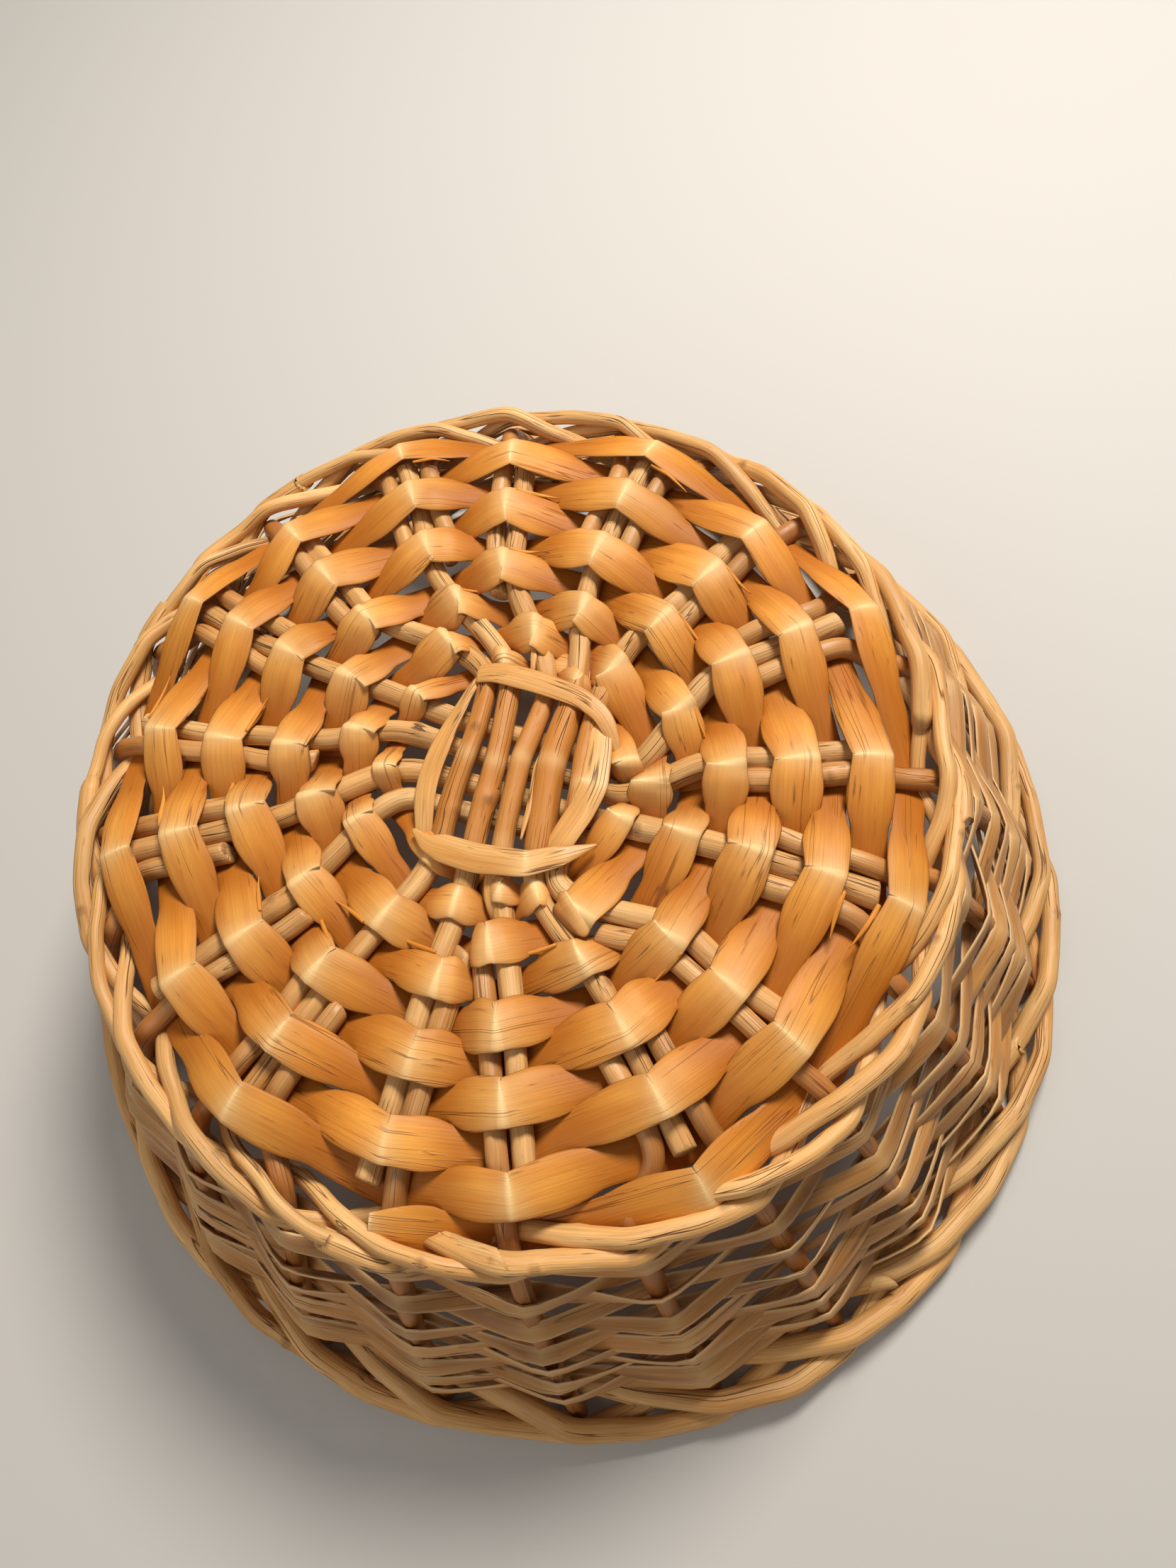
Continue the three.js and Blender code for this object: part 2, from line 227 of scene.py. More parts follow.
def rod(path, radius, tone=0.0, knots=0, groove=0.0, cut=(1, 1), marks=None):
    """A rod along path. radius is one number or one for each point; a cut over 1 slants that end."""
    n = len(path)
    along = lengths_of(path)
    step = along[-1] / (n - 1)
    radius = np.broadcast_to(radius, n) * (1 + wander(n, step, 0.03, 0.05))
    bump = add_knots(radius, along, knots)
    tangent = travel(path)
    side = side_directions(tangent)
    third = np.cross(tangent, side)
    shape = 1 + 0.05 * np.cos(2 * ROD_ANGLES + rng.random() * TURN) + 0.02 * rng.normal(size=ROD_SIDES)
    scale = radius[:, None] * shape[None, :] * (1 + 0.13 * bump)
    if groove:
        scale *= 1 - groove_depth(n, step, groove)
    sideways, upwards = scale * np.cos(ROD_ANGLES), scale * np.sin(ROD_ANGLES)
    rings = path[:, None, :] + sideways[..., None] * side[:, None, :] + upwards[..., None] * third[:, None, :]
    grain = np.stack([np.broadcast_to(along[:, None], scale.shape), sideways, upwards], -1)
    values = {"knot": bump}
    for name, value in {"tone": tone, **(marks or {})}.items():
        values[name] = np.repeat(np.broadcast_to(value, n)[:, None], ROD_SIDES, 1)
    for end in (0, -1):
        slant = (cut[end] - 1) * radius[end] * np.cos(ROD_ANGLES + rng.random() * TURN)
        rings[end] += slant[:, None] * tangent[end]
    return close_ends(rings, grain, values)


def close_ends(rings, grain, values, chamfer=0.12):
    """Adds a worn edge and an end face at both ends of a sweep, and marks them as cut wood."""
    def shrink(end):
        middle = rings[end].mean(0)
        out = unit(rings[0] - rings[1] if end == 0 else rings[-1] - rings[-2]).mean(0)
        reach = np.linalg.norm(rings[end] - middle, axis=1).mean()
        inner = [(0.86, chamfer), (0.5, chamfer * 1.2)]
        made = [middle + (rings[end] - middle) * share + out * reach * push for share, push in inner]
        return np.array(made[::-1] if end == 0 else made)

    def repeat_ends(array, share=1.0):
        first, last = (np.repeat(array[end][None], 2, 0) * share for end in (0, -1))
        return np.concatenate([first, array, last])

    closed = np.concatenate([shrink(0), rings, shrink(-1)])
    values = {name: repeat_ends(value) for name, value in values.items()}
    values["cut"] = np.zeros(closed.shape[:2])
    values["cut"][:2] = values["cut"][-2:] = 1
    return closed, repeat_ends(grain, np.array([1, 0.7, 0.7])), values


def fold_highlight(to_fold, outer):
    """Painted highlight near a fold, partly the real pale line of crushed fibres: a sharp core and a fan that
    widens outwards, both brightest at the inner edge, and a faint painted glow.
    """
    fold = to_fold[:, None]
    core = np.exp(-((fold / 0.00045) ** 2)) * (0.75 - 0.45 * outer)
    fan = np.exp(-((fold / (0.0012 + 0.0026 * outer)) ** 2)) * (0.42 - 0.20 * outer)
    glow = 0.16 * np.exp(-((fold / 0.007) ** 2))
    return core + fan + glow


def end_taper(along, width, point):
    """The share of a skein's width that is left at each point, next to its two ends."""
    taper = 1
    for from_end, wide, left in ((along, width[0], point[0]), (along[-1] - along, width[-1], point[1])):
        share = np.clip(from_end / (0.004 + wide), 0, 1)
        taper = taper * (left + (1 - left) * share**0.7)
    return taper


def skein(path, across, width, thick, camber, tone, to_fold=None, dive=0.0, point=(0.5, 0.5)):
    """A flat split of willow along path. across points to its outer edge; camber lifts its middle.

    to_fold is each ring's distance from the nearest fold, where it has folds, and sets the painted fold
    highlight; the one after it says how far the skein has gone under, where it is painted darker as shade;
    and point is the share of the width left at each end.
    """
    n = len(path)
    along = lengths_of(path)
    tangent = travel(path)
    across = unit(across - tangent * np.sum(across * tangent, 1, keepdims=True))
    out = np.cross(tangent, across)
    turned = out[:, 2].mean() < 0
    if turned:
        out = -out
    u = np.r_[ACROSS, ACROSS[::-1][1:-1]]
    half = np.r_[np.full(len(ACROSS), 0.5), np.full(len(ACROSS) - 2, -0.5)] * (1 - 0.75 * np.abs(u) ** 5)
    half[0] = half[len(ACROSS) - 1] = 0
    left = 1 + wander(n, along[-1] / n, 0.025, 0.02)
    right = 1 + wander(n, along[-1] / n, 0.025, 0.02)
    wide = width * end_taper(along, width, point) / 2
    reach = wide[:, None] * u[None, :] * np.where(u < 0, left[:, None], right[:, None])
    lift = camber[:, None] * (1 - u[None, :] ** 2) + half[None, :] * thick
    rings = path[:, None, :] + reach[..., None] * across[:, None, :] + lift[..., None] * out[:, None, :]

    def spread(value):
        return np.broadcast_to(value, rings.shape[:2])

    grain = np.stack([spread(along[:, None]), reach, spread(half * thick)], -1)
    values = {
        "tone": spread(np.reshape(tone, (-1, 1))),
        # Painted highlight at the folds.
        "crease": fold_highlight(np.ones(n) if to_fold is None else to_fold, (u[None, :] + 1) / 2),
        # Painted shade where the skein has gone under.
        "dive": spread(np.reshape(dive, (-1, 1))),
        # Marks the skein's edges for painted edge shade on base skeins and bindings, and painted edge
        # highlight on side skeins.
        "edge_light_and_shade": spread(np.abs(u) ** 8),
    }
    if turned:
        rings, grain = rings[:, ::-1], grain[:, ::-1]
        values = {name: value[:, ::-1] for name, value in values.items()}
    return close_ends(rings, grain, values, chamfer=0.05)


MARKS = ("tone", "knot", "cut", "crease", "dive", "edge_light_and_shade")


def piece(name, parts, material, nodes=()):
    """One mesh from several closed sweeps, riding on the root body."""
    points, faces, uvs, grains = [], [], [], []
    marks = {m: [] for m in MARKS}
    base = 0
    for rings, grain, values in parts:
        n, m = rings.shape[:2]
        points.append(rings.reshape(-1, 3) * OVAL)
        grains.append(grain.reshape(-1, 3) + rng.uniform(-5, 5, 3))
        for mark in MARKS:
            marks[mark].append(values.get(mark, np.zeros((n, m))).reshape(-1))
        i, j = np.meshgrid(np.arange(n - 1), np.arange(m), indexing="ij")
        k = (j + 1) % m
        quads = np.stack([i * m + j, i * m + k, (i + 1) * m + k, (i + 1) * m + j], -1)
        faces.extend((base + quads.reshape(-1, 4)).tolist())
        girth = np.arange(m + 1) / m
        along = grain[:, 0, 0]
        steps = ((0, 0), (0, 1), (1, 1), (1, 0))
        corners = [np.stack([along[i + on], girth[j + around]], -1) for on, around in steps]
        uvs.append(np.stack(corners, 2).reshape(-1, 2))
        faces.append((base + np.arange(m)[::-1]).tolist())
        faces.append((base + (n - 1) * m + np.arange(m)).tolist())
        uvs.append(np.zeros((2 * m, 2)) + [along[0], 0.5])
        base += n * m
    mesh = bpy.data.meshes.new(name)
    mesh.from_pydata(np.concatenate(points).tolist(), [], faces)
    layer = mesh.uv_layers.new(name="Along")
    layer.data.foreach_set("uv", np.concatenate(uvs).astype(np.float32).ravel())
    vector = mesh.attributes.new("grain", "FLOAT_VECTOR", "POINT")
    vector.data.foreach_set("vector", np.concatenate(grains).astype(np.float32).ravel())
    for mark in MARKS:
        value = mesh.attributes.new(mark, "FLOAT", "POINT")
        value.data.foreach_set("value", np.concatenate(marks[mark]).astype(np.float32))
    mesh.polygons.foreach_set("use_smooth", np.ones(len(mesh.polygons), bool))
    mesh.materials.append(material)
    mesh.update()
    made = bpy.data.objects.new(name, mesh)
    bpy.context.scene.collection.objects.link(made)
    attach(made, "root")
    if nodes:
        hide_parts(*nodes)


# ---- Materials ----

def linear(red, green, blue):
    """An sRGB colour from 0 to 255 as the linear colour that the shader takes."""
    def one(c):
        c = c / 255
        return c / 12.92 if c <= 0.04045 else ((c + 0.055) / 1.055) ** 2.4
    return (one(red), one(green), one(blue), 1.0)


class Willow:
    """A Principled shader of willow: bands, fibres and flecks that run along each piece's own grain.

    Colours are sRGB, from 0 to 255. deep covers the wood where the shading mark is set, by deep_share:
    painted shade where a base skein goes under its neighbours, and the darker wood of the stakes' bark and of
    the crossing's outer rods. The edge colour covers a skein's edges, by rim_share: painted shade along the
    edges of base skeins and bindings, and a painted highlight along those of side skeins. Folds and kinks get
    a painted highlight. The lower split is, the more of the surface has cracks.
    """

    def __init__(
        self, name, light, dark, streak, roughness, bump, gloss, anisotropy=0.0, deep=(168, 86, 18),
        deep_share=0.5, edge_light_and_shade=(150, 92, 42), rim_share=0.35, crack_share=0.5, split=0.54, contrast=0.14,
    ):
        self.material = bpy.data.materials.new(name)
        self.material.use_nodes = True
        self.tree = self.material.node_tree
        self.tree.nodes.clear()
        out = self.add("ShaderNodeOutputMaterial")
        self.shader = self.add("ShaderNodeBsdfPrincipled")
        self.link(self.shader.outputs["BSDF"], out.inputs["Surface"])
        self.shader.inputs["Specular IOR Level"].default_value = gloss
        if anisotropy:
            self.brush(anisotropy)
        self.band = self.noise((26, 160, 160), 3.0)
        self.fibre = self.noise((55, 2300, 2300), 3.0)
        self.fleck = self.noise((95, 900, 900), 4.0)
        self.crack = self.crack_lines(split)

        colour = self.wood(linear(*light), linear(*dark), contrast)
        colour = self.mix(self.ramp(self.fleck, 0.66, 0.74), colour, linear(*streak), share=0.75)
        # Painted shade: darker where a base skein goes under its neighbours; on stakes and the crossing's
        # outer rods the same colour is their darker wood.
        colour = self.mix(self.mark("dive"), colour, linear(*deep), share=deep_share)
        # Painted highlight: pale over the folds of the skeins and the kinks of the crossing's rods, partly
        # the real pale line of crushed fibres.
        colour = self.mix(self.mark("crease"), colour, linear(250, 218, 158), share=0.8)
        # Painted edge light and shade: base skeins' and bindings' edges darker as a thin shadow line, side
        # skeins' edges paler as a highlight.
        colour = self.mix(self.mark("edge_light_and_shade"), colour, linear(*edge_light_and_shade), share=rim_share)
        colour = self.mix(self.ramp(self.mark("knot"), 0.35, 0.95), colour, linear(104, 60, 28), share=0.6)
        colour = self.mix(self.crack, colour, linear(*streak), share=crack_share)
        colour = self.mix(self.mark("cut"), colour, self.end_grain())
        self.link(colour, self.shader.inputs["Base Color"])

        rough = self.between(self.fibre, 0.2, 0.8, roughness - 0.07, roughness + 0.12)
        self.link(rough, self.shader.inputs["Roughness"])
        self.link(self.relief(bump, 2.0 * crack_share), self.shader.inputs["Normal"])

    def brush(self, anisotropy):
        """Draws the gloss out along the fibres."""
        self.shader.inputs["Anisotropic"].default_value = anisotropy
        tangent = self.add("ShaderNodeTangent")
        tangent.direction_type = "UV_MAP"
        tangent.uv_map = "Along"
        self.link(tangent.outputs[0], self.shader.inputs["Tangent"])

    def wood(self, light, dark, contrast):
        """Light and dark bands with warmer patches, brighter or darker by the piece's tone and its fibres."""
        colour = self.mix(self.ramp(self.band, 0.3, 0.7), dark, light)
        patch = self.noise((38, 60, 60), 2.0)
        colour = self.mix(self.ramp(patch, 0.35, 0.75), colour, linear(204, 136, 52), share=0.35)
        colour = self.scale_value(colour, self.between(self.mark("tone"), -1, 1, 0.80, 1.16))
        fibres = self.between(self.fibre, 0.25, 0.75, 1 - contrast, 1 + contrast * 0.85)
        return self.scale_value(colour, fibres)

    def end_grain(self):
        rings = self.noise((10, 1500, 1500), 2.0)
        return self.mix(self.ramp(rings, 0.3, 0.7), linear(150, 96, 50), linear(214, 170, 112))

    def relief(self, bump, crack_depth):
        """Raised fibres and bands, with flecks and cracks sunk into them."""
        height = self.math("MULTIPLY", self.fibre, 0.55)
        for change, layer, depth in (
            ("ADD", self.band, 0.9),
            ("SUBTRACT", self.ramp(self.fleck, 0.62, 0.74), 0.5),
            ("SUBTRACT", self.crack, crack_depth),
        ):
            height = self.math(change, height, self.math("MULTIPLY", layer, depth))
        node = self.add("ShaderNodeBump")
        node.inputs["Strength"].default_value = bump
        node.inputs["Distance"].default_value = 0.0003
        self.link(height, node.inputs["Height"])
        return node.outputs[0]

    def crack_lines(self, split):
        """Long thin splits: the level lines of a drawn-out noise, in patches that a lower split widens."""
        lines = self.noise((13, 420, 420), 1.0)
        off = self.math("ABSOLUTE", self.math("SUBTRACT", lines, 0.5), 0)
        thin = self.between(off, 0.0, 0.016, 1, 0)
        where = self.ramp(self.noise((30, 110, 110), 1.0), split, split + 0.06)
        return self.math("MULTIPLY", thin, where)

    def link(self, output, socket):
        self.tree.links.new(output, socket)

    def add(self, kind):
        return self.tree.nodes.new(kind)

    def mark(self, name):
        node = self.add("ShaderNodeAttribute")
        node.attribute_name = name
        return node.outputs["Fac"]

    def noise(self, scale, detail):
        place = self.add("ShaderNodeAttribute")
        place.attribute_name = "grain"
        stretch = self.add("ShaderNodeVectorMath")
        stretch.operation = "MULTIPLY"
        stretch.inputs[1].default_value = scale
        self.link(place.outputs["Vector"], stretch.inputs[0])
        node = self.add("ShaderNodeTexNoise")
        node.inputs["Scale"].default_value = 1.0
        node.inputs["Detail"].default_value = detail
        self.link(stretch.outputs[0], node.inputs["Vector"])
        return node.outputs["Fac"]

    def between(self, value, low, high, out_low, out_high):
        node = self.add("ShaderNodeMapRange")
        for i, number in enumerate((low, high, out_low, out_high)):
            node.inputs[i + 1].default_value = number
        self.link(value, node.inputs[0])
        return node.outputs[0]

    def ramp(self, value, low, high):
        return self.between(value, low, high, 0, 1)

    def math(self, operation, a, b):
        node = self.add("ShaderNodeMath")
        node.operation = operation
        for socket, value in zip(node.inputs, (a, b)):
            if isinstance(value, (int, float)):
                socket.default_value = value
            else:
                self.link(value, socket)
        return node.outputs[0]

    def mix(self, factor, a, b, share=1.0):
        node = self.add("ShaderNodeMix")
        node.data_type = "RGBA"
        if share != 1.0:
            factor = self.math("MULTIPLY", factor, share)
        self.link(factor, node.inputs[0])
        for socket, value in ((node.inputs[6], a), (node.inputs[7], b)):
            if isinstance(value, tuple):
                socket.default_value = value
            else:
                self.link(value, socket)
        return node.outputs[2]

    def scale_value(self, colour, factor):
        node = self.add("ShaderNodeVectorMath")
        node.operation = "SCALE"
        self.link(colour, node.inputs[0])
        self.link(factor, node.inputs["Scale"])
        return node.outputs[0]


# deep is the painted shade where base skeins go under.
skein_willow = Willow(
    "willow_skein", light=(226, 154, 64), dark=(196, 116, 32), streak=(100, 50, 16), roughness=0.46, bump=0.5,
    gloss=0.22, anisotropy=0.25, deep=(162, 86, 18), deep_share=0.7, crack_share=0.6, split=0.52,
).material
stick_willow = Willow(
    "willow_stick", light=(222, 178, 118), dark=(190, 136, 76), streak=(92, 52, 24), roughness=0.50, bump=0.8,
    gloss=0.35, deep=(192, 116, 36), deep_share=0.88, crack_share=0.9, split=0.47, contrast=0.26,
).material
stake_willow = Willow(
    "willow_stake", light=(216, 166, 104), dark=(182, 124, 66), streak=(70, 36, 16), roughness=0.42, bump=0.6,
    gloss=0.5, deep=(160, 92, 34), deep_share=0.8, crack_share=0.7, split=0.50, contrast=0.2,
).material
rod_willow = Willow(
    "willow_rod", light=(232, 186, 122), dark=(200, 146, 84), streak=(104, 56, 24), roughness=0.46, bump=0.8,
    gloss=0.4, crack_share=0.85, split=0.47, contrast=0.22,
).material
# Side skeins: a painted highlight along their edges.
side_willow = Willow(
    "willow_side_skein", light=(206, 150, 88), dark=(150, 96, 46), streak=(84, 46, 20), roughness=0.46,
    bump=0.6, gloss=0.4, anisotropy=0.3, edge_light_and_shade=(236, 200, 146), rim_share=0.8, crack_share=0.7, split=0.50,
    contrast=0.2,
).material
binding_willow = Willow(
    "willow_binding", light=(230, 178, 110), dark=(204, 142, 72), streak=(92, 48, 18), roughness=0.40,
    bump=0.6, gloss=0.4, anisotropy=0.3, crack_share=0.9, split=0.49, contrast=0.2,
).material


# ---- Layout of the base ----

def spoke_angle(i):
    return FIRST_SPOKE + i * TURN / SPOKES


FLAT_RADIUS = STICK_END - 0.0095
DROOP_FROM, DROOP = 0.097, 14.0  # the radius where the edge begins to droop, and how fast, per metre


def base_level(radius):
    """Height of the sticks' centre line: hollow in the middle, and drooping at the edge."""
    share = np.minimum(np.asarray(radius, float) / FLAT_RADIUS, 1)
    crown = -CROWN * (1 + np.cos(math.pi * share)) / 2
    over = np.maximum(np.asarray(radius, float) - DROOP_FROM, 0)
    return STICK_LEVEL + crown - DROOP * over**2


# The crossing lies a little off the middle and turned; its own axes run across and along the outer rods.
CROSSING_TURN = math.radians(54)
CROSSING_MIDDLE = np.array([0.007, -0.0023, 0.0])
CROSSING_RADIUS = 0.012  # the crossing's level is that of the sticks at this radius
crossing_right = polar(1, CROSSING_TURN - math.pi / 2)
crossing_up = polar(1, CROSSING_TURN)

# Outer rods from left to right, in millimetres: across where they leave the top, at the kink and at the
# bottom, how far along the kink lies, the rod's radius there, and the spokes that its two ends become.
OUTER_RODS = [
    ((-17, -16, -14.5), 0, 2.9, (7, 12)),
    ((-10, -7, -4.5), 0, 3.2, (6, 13)),
    ((-0.5, -0.5, 4), 3.5, 3.1, (5, 14)),
    ((8.5, 9.5, 13), 3.5, 4.1, (4, 15)),
    ((15.5, 18.5, 19), 1, 2.8, (3, 16)),
]
# Inner rods from top to bottom: how far along their right and left ends lie, in millimetres, and their
# spokes. The last one is cut off at the right.
INNER_RODS = [((10, 13), (2, 8)), ((3, 4), (1, 9)), ((-5, -6), (0, 10)), ((-12, -14), (None, 11))]
INNER_RADIUS = 0.0029
HALF_LENGTH, HALF_WIDTH = 23, 25  # of the crossing, in millimetres
SPOKE_FROM = 0.070  # from this radius the spokes point straight away from the basket's middle


def in_crossing(across, along, level=0.0):
    """A point from millimetres in the crossing's own axes; level counts from the sticks' level there."""
    here = CROSSING_MIDDLE + (crossing_right * across + crossing_up * along) / 1000
    return here + UP * (base_level(CROSSING_RADIUS) + level / 1000)


def to_spoke(leave, direction, spoke):
    """Plan path from where a rod leaves the crossing out along its spoke."""
    if spoke is None:
        return np.array([leave, leave + direction * 0.002])
    join = polar(SPOKE_FROM, spoke_angle(spoke))
    t = np.linspace(0, 1, 26)[:, None]
    pull = np.linalg.norm(join - leave) * 0.9
    curve = hermite(t, leave, pull * direction, join, pull * unit(join))
    return np.concatenate([curve, [polar(STICK_END, spoke_angle(spoke))]])


def stick_plans():
    """For each base stick: its radius at the kink, its first run, the kink, its last run and its spokes."""
    rods = []
    for (top, kink, bottom), along, radius, spokes in OUTER_RODS:
        points = (top, HALF_LENGTH - 2), (kink, along), (bottom, -HALF_LENGTH)
        rods.append((radius / 1000, points, spokes))
    for (right, left), spokes in INNER_RODS:
        points = (HALF_WIDTH, right), (0, (right + left) / 2), (-HALF_WIDTH, left)
        rods.append((0, points, spokes))
    made = []
    for outer_radius, points, (first_spoke, last_spoke) in rods:
        first, kink, last = (in_crossing(*point) * np.array([1, 1, 0]) for point in points)
        first_run = to_spoke(first, unit(first - kink), first_spoke)
        last_run = to_spoke(last, unit(last - kink), last_spoke)
        made.append((outer_radius, first_run, kink, last_run, (first_spoke, last_spoke)))
    return made


sticks = stick_plans()
spoke_path = {}
for _, first_run, _, last_run, ends in sticks:
    for run, spoke in ((first_run, ends[0]), (last_run, ends[1])):
        if spoke is not None:
            spoke_path[spoke] = run


def spoke_at(spoke, radius):
    """Plan point on a spoke's centre line at a radius, and the direction outwards along it."""
    path = spoke_path[spoke]
    radii = np.linalg.norm(path[:, :2], axis=1)
    keep = np.r_[True, np.diff(np.maximum.accumulate(radii)) > 1e-6]
    within = min(radius, STICK_END)
    here, before = (
        np.array([np.interp(r, radii[keep], path[keep, k]) for k in range(2)] + [0.0])
        for r in (within, within - 0.004)
    )
    out = unit(here - before)
    return here + out * (radius - within), out


# ---- Side stakes' places: evenly round the wall, tucked in beside the nearest spoke ----

stakes = []
for i in range(STAKES):
    even = i / STAKES * TURN + TURN / SPOKES / 4
    spoke = round(even / (TURN / SPOKES))
    offset = even - spoke * TURN / SPOKES
    side = -1 if offset < 0 else 1
    turn = side * max(abs(offset), BESIDE / BEND_RADIUS)  # one that would lie on its spoke moves beside it
    stakes.append({"spoke": spoke % SPOKES, "side": side, "turn": turn, "angle": spoke_angle(spoke) + turn})
stakes.sort(key=lambda s: s["angle"])
for stake in stakes:  # the radius that each stake's inner end reaches in to
    shared = sum(s["spoke"] == stake["spoke"] for s in stakes) > 1
    stake["tuck"] = rng.uniform(0.064, 0.078) if shared else rng.uniform(0.046, 0.066)


def fanned(radius):
    """How far, from 0 to 1, the stakes have left their spokes' sides for their places in the wall."""
    return smoothstep(FAN_OUT, BEND_RADIUS + 0.002, radius)


def beside(stake, radius):
    """How far a stake lies from its spoke's centre line at a radius."""
    spread = max(abs(stake["turn"]) * radius, BESIDE)
    fan = fanned(radius)
    return stake["side"] * (BESIDE * (1 - fan) + spread * fan)


GROUP_REACH = 0.0095  # the most that a skein's crossing reaches to one side of a spoke


def group_at(spoke, radius):
    """Middle and half width of the rods that lie side by side on a spoke at a radius."""
    offsets = [0.0]
    for stake in stakes:
        if stake["spoke"] == spoke and stake["tuck"] < radius + 0.005:
            offsets.append(beside(stake, radius))
    low, high = max(min(offsets), -GROUP_REACH), min(max(offsets), GROUP_REACH)
    return (low + high) / 2, (high - low) / 2


# ---- The wall's profile, as radius and height ----

WALL_START = math.radians(50)  # below the base plane, where the stakes turn down
STAKE_END_LEVEL = 0.0023
BORDER_CENTRE = MOUTH_RADIUS - 0.0096
WALL_BULGE, BULGE_ANGLE = 0.0035, math.radians(-17)
MOUTH_SHIFT = np.array([0.0038, -0.0022, 0.0])


def wall_curve():
    """The line of the stakes, curving from their bend down to their ends."""
    top = np.array([BEND_RADIUS, STICK_LEVEL - 0.0012])
    bottom = np.array([BORDER_CENTRE, STAKE_END_LEVEL])
    pull = top + 0.45 * np.linalg.norm(bottom - top) * np.array([math.cos(WALL_START), -math.sin(WALL_START)])
    t = np.linspace(0, 1, 200)[:, None]
    return (1 - t) ** 2 * top + 2 * t * (1 - t) * pull + t**2 * bottom


wall = wall_curve()
wall_slope = travel(wall)
wall_lengths = lengths_of(wall)
WALL_LENGTH = wall_lengths[-1]


def sway(angle, level):
    """How far the hand-made wall strays from a round one, at an angle and a height."""
    down = 1 - level / STICK_LEVEL
    bulge = WALL_BULGE * max(math.cos(angle - BULGE_ANGLE), 0) ** 2
    return polar(bulge * (1 - down), angle) + MOUTH_SHIFT * down


def wall_at(length, angle):
    """Point on the wall at a length down from the bend, with its outward and upward directions."""
    over = max(length - WALL_LENGTH, 0)
    profile = np.hstack([wall, wall_slope])
    radius, level, outwards, down = (np.interp(length, wall_lengths, column) for column in profile.T)
    radius, level = radius + outwards * over, level + down * over
    here = polar(radius, angle, level) + sway(angle, level)
    return here, polar(-down, angle, outwards), polar(-outwards, angle, -down)


# ---- Base sticks ----

STICK_STEP = 0.0011
LAYER_LIFT = 0.0030  # in the crossing the outer rods lie this far above the sticks' level, the inner below
KINK_LIFT = 0.0020  # the outer rods' kinks stand higher still


def add_sticks():
    for number, (outer_radius, first, kink, last, _) in enumerate(sticks, 1):
        is_outer = outer_radius > 0
        path = np.concatenate([first[::-1], kink[None], last])
        radii = np.linalg.norm(path[:, :2], axis=1)
        from_middle = np.linalg.norm(path - CROSSING_MIDDLE, axis=1)
        lift = (1 if is_outer else -1) * LAYER_LIFT * (1 - smoothstep(0.022, 0.042, from_middle))
        lift[len(first)] += KINK_LIFT * is_outer
        path[:, 2] = base_level(radii) + lift
        path = soften(path, STICK_STEP, 0.0018)
        n = len(path)
        from_kink = np.linalg.norm((path - kink)[:, :2], axis=1)
        inside = 1 - smoothstep(0.020, 0.030, from_kink)
        path[:, :2] += np.stack([wander(n, STICK_STEP, 0.0005, 0.06) for _ in range(2)], 1)
        path[:, 2] += wander(n, STICK_STEP, 0.0003, 0.05)
        radius = tapered(STICK_RADIUS, n, (0.98, 1.06), (0.90, 1.0))
        radius += inside * ((outer_radius or INNER_RADIUS) - radius)
        tone = rng.uniform(-0.1, 0.7) * (1 - inside) + inside * (rng.uniform(-0.4, 0.3) if is_outer else 0.3)
        # Painted highlight: a pale ring round each outer rod's kink. Inside the crossing the outer rods also
        # take their darker wood colour.
        crease = 0.30 * np.exp(-((from_kink / 0.0020) ** 2)) * is_outer
        part = rod(
            path, radius, tone=tone, knots=3, groove=rng.choice([0.0, 0.2, 0.3]), cut=(1.15, 1.1),
            marks={"crease": crease, "dive": inside * 0.8 * is_outer},
        )
        piece(f"stick_{number}", [part], stick_willow, [f"base_stick_{number}"])


# ---- Base skeins: one spiral, drawn out into petals between its creases ----

FIRST_ROW = 0.0385
ROW_PITCH = 0.0097
FIRST_ROW_SPOKE = 14
ROW_START, ROW_END = -18, 137  # crossings, counted from the first full row
BINDING_REACH = 0.026  # a circle round the crossing that the rows stay outside of
SPLINTERS = 22


def row_radius(crossing, angle):
    radius = FIRST_ROW + ROW_PITCH * crossing / SPOKES
    toward = CROSSING_MIDDLE @ polar(1, angle)
    edge = toward + math.sqrt(BINDING_REACH**2 - CROSSING_MIDDLE @ CROSSING_MIDDLE + toward**2)
    return max(radius, edge + 0.0065)


def base_crossings():
    """Every place where the base skein passes a spoke.

    Each has a point, the spoke's direction, half the width of the rods there, whether the skein passes over
    them, and its share of the full width.
    """
    made = []
    for crossing in range(ROW_START, ROW_END + 1):
        spoke = (FIRST_ROW_SPOKE - crossing) % SPOKES
        radius = row_radius(crossing, spoke_angle(spoke)) + rng.normal() * 0.0007
        point, out = spoke_at(spoke, radius)
        middle, half = group_at(spoke, radius)
        point = point + np.cross(UP, out) * middle
        wide = float(np.interp(crossing, [ROW_START, -4, 6], [0.60, 0.70, 0.97]))
        made.append({"point": point, "out": out, "half": half, "over": crossing % 2 == 1, "wide": wide})
    return made


# A base skein's share of its full width, from where it passes over (0) to where it passes under (1).
PETAL_PLACES = np.array([0, 0.12, 0.26, 0.40, 0.52, 0.66, 1])
PETAL_WIDTHS = np.array([0.90, 0.98, 1.04, 0.95, 0.78, 0.80, 0.92])
PETAL_SLOPES = np.gradient(PETAL_WIDTHS, PETAL_PLACES)


